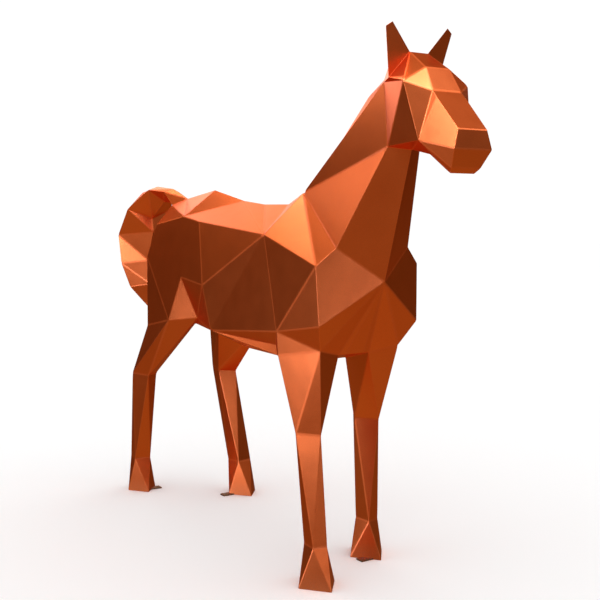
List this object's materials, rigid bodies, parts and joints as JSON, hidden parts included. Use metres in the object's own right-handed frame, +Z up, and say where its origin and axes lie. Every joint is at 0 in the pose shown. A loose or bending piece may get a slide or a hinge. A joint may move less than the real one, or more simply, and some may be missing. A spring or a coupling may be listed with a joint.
{
  "type": "faceted horse sculpture",
  "caption": "Life-size horse sculpture in flat facets, cast in resin and painted metallic copper, standing mid-walk with raised head, pricked ears and arched tail.",
  "frame": {"origin": "on the floor at the middle of the horse's bounding box, under the belly", "axes": "+X forward, towards the head; +Y towards the horse's left side; +Z up"},
  "size_m": [2.8812, 0.5818, 2.1],
  "materials": {
    "copper_painted_resin": "satin metallic copper-orange paint with a clear coat, on cast resin",
    "fixing_steel": "mill-finish flat steel bar, lightly tarnished"
  },
  "bodies": {
    "root": {"horse": "copper_painted_resin", "fixing_tab_fore_left": "fixing_steel", "fixing_tab_hind_left": "fixing_steel", "fixing_tab_hind_right": "fixing_steel"}
  },
  "joints": []
}
